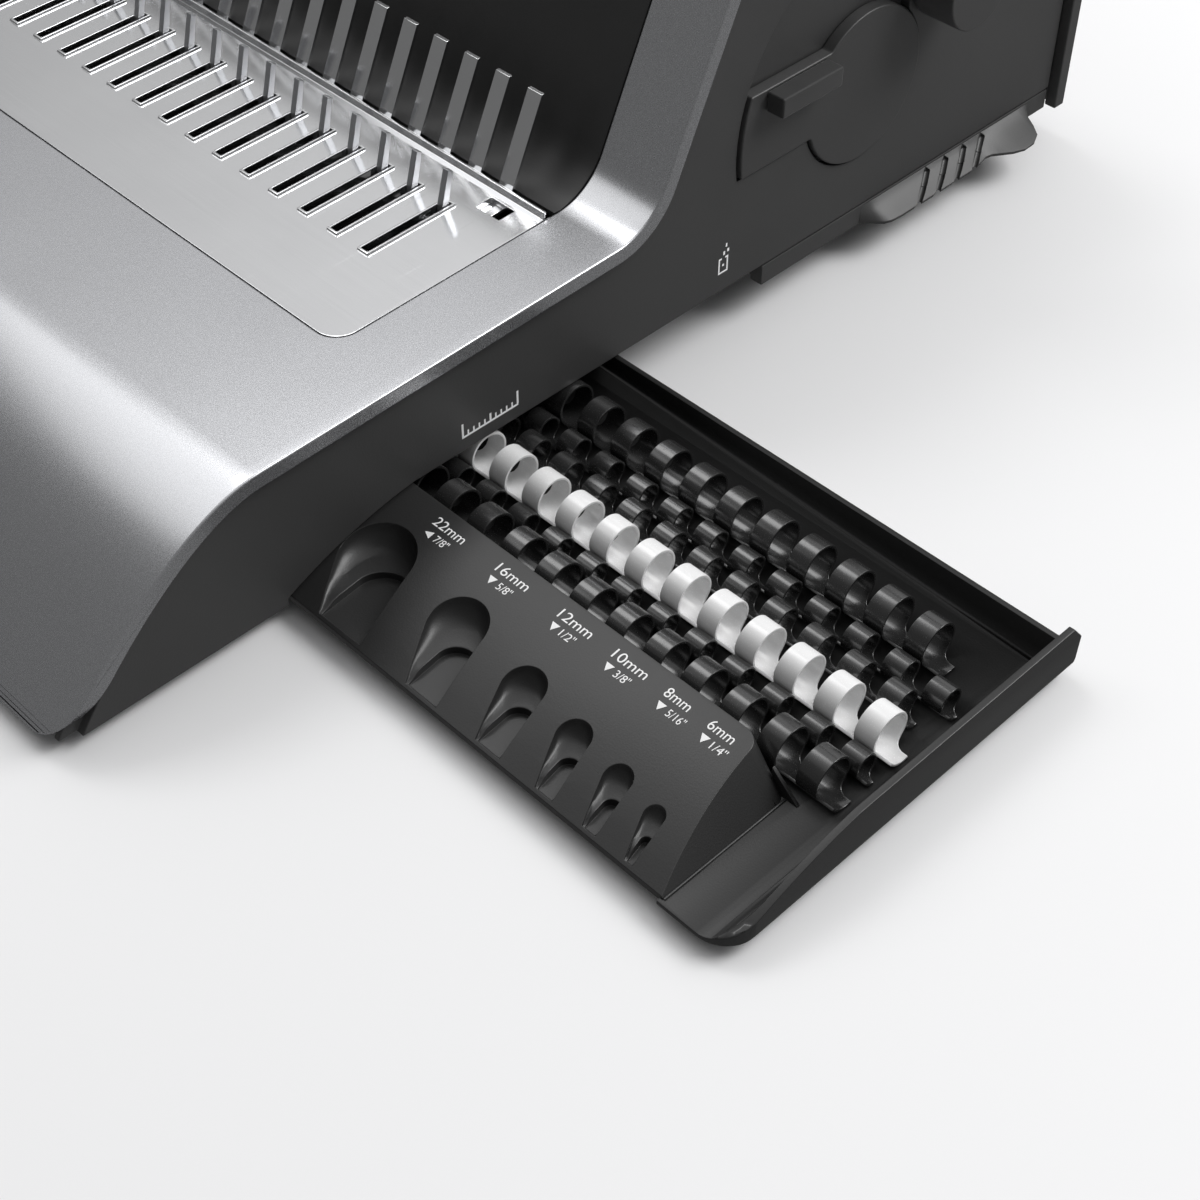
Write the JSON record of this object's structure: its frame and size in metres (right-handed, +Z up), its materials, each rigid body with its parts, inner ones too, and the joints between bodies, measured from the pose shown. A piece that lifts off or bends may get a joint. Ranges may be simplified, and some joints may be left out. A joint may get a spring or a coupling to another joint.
{
  "type": "comb binding machine",
  "caption": "Desktop comb binding machine with a wedge-shaped silver body, a punch tower, a comb plate with hooks and rake, a pull-out comb tray with size gauge and a chip drawer.",
  "frame": {"origin": "On the table under the middle of the body: the middle of the bottom of the centre foot.", "axes": "+X to the machine's right, where the tray pulls out; +Y from the front to the rear; +Z up."},
  "size_m": [0.563, 0.442, 0.2796],
  "materials": {
    "silver_skin": "satin",
    "charcoal_plastic": "satin",
    "black_plastic": "satin",
    "comb_black": "glossy",
    "comb_white": "glossy",
    "steel_plate": "brushed",
    "bright_plate": "polished",
    "ground_steel": "ground",
    "bearing_plastic": "matte",
    "soft_rubber": "matte"
  },
  "bodies": {
    "casing": {"base_plate": "steel_plate", "rubber_feet": "soft_rubber", "top_shell": "silver_skin", "right_side_panel": "charcoal_plastic", "left_side_panel": "charcoal_plastic", "tower_front_panel": "black_plastic", "top_cover": "charcoal_plastic", "rear_cover": "charcoal_plastic", "right_side_frame": "steel_plate", "left_side_frame": "steel_plate", "panel_screws": "ground_steel", "tray_rails": "steel_plate", "drawer_rails": "steel_plate", "carriage_rails": "steel_plate", "comb_plate": "bright_plate", "rake": "bright_plate", "binding_shaft_bushes": "bearing_plastic", "die_plate": "steel_plate", "punch_guide_plate": "steel_plate", "throat_stop": "steel_plate", "guide_rods": "ground_steel", "punch_shaft_bushes": "bearing_plastic", "return_spring": "ground_steel"},
    "tray": {"comb_tray": "black_plastic", "comb_a": "comb_black", "comb_b": "comb_black", "comb_c": "comb_black", "comb_d": "comb_white", "comb_e": "comb_black", "comb_f": "comb_black"},
    "drawer": {"chip_drawer": "black_plastic"},
    "binding_drive": {"binding_shaft": "ground_steel", "gear_right": "steel_plate", "gear_left": "steel_plate", "binding_lever": "charcoal_plastic", "lever_pad": "soft_rubber"},
    "hook_carriage": {"hook_bar": "bright_plate", "rack_right": "steel_plate", "rack_left": "steel_plate"},
    "punch_drive": {"punch_shaft": "ground_steel", "cam_right": "steel_plate", "cam_left": "steel_plate", "punch_lever": "charcoal_plastic", "punch_grip": "soft_rubber"},
    "punch_carriage": {"punch_bar": "steel_plate", "punches": "ground_steel"},
    "paper_guide": {"edge_guide": "black_plastic"}
  },
  "joints": [
    {"name": "tray_slide", "type": "slide", "parent": "casing", "child": "tray", "axis": [1, 0, 0], "range_m": [-0.171, 0]},
    {"name": "drawer_slide", "type": "slide", "parent": "casing", "child": "drawer", "axis": [1, 0, 0], "range_m": [0, 0.26]},
    {"name": "binding_hinge", "type": "hinge", "parent": "casing", "child": "binding_drive", "pos_m": [0, 0.102, 0.0695], "axis": [-1, 0, 0], "range_deg": [0, 88]},
    {"name": "hook_slide", "type": "slide", "parent": "casing", "child": "hook_carriage", "axis": [0, -1, 0], "range_m": [0, 0.027]},
    {"name": "punch_hinge", "type": "hinge", "parent": "casing", "child": "punch_drive", "pos_m": [0, 0.1358, 0.098], "axis": [1, 0, 0], "range_deg": [0, 65]},
    {"name": "punch_slide", "type": "slide", "parent": "casing", "child": "punch_carriage", "axis": [0, -1, 0], "range_m": [0, 0.0096]},
    {"name": "guide_slide", "type": "slide", "parent": "casing", "child": "paper_guide", "axis": [1, 0, 0], "range_m": [-0.06, 0.018]}
  ],
  "couplings": [
    {"joint": "binding_hinge", "follows": "hook_slide", "rad_per_m": 56.818},
    {"joint": "punch_slide", "follows": "punch_hinge", "m_per_rad": 0.008374}
  ]
}
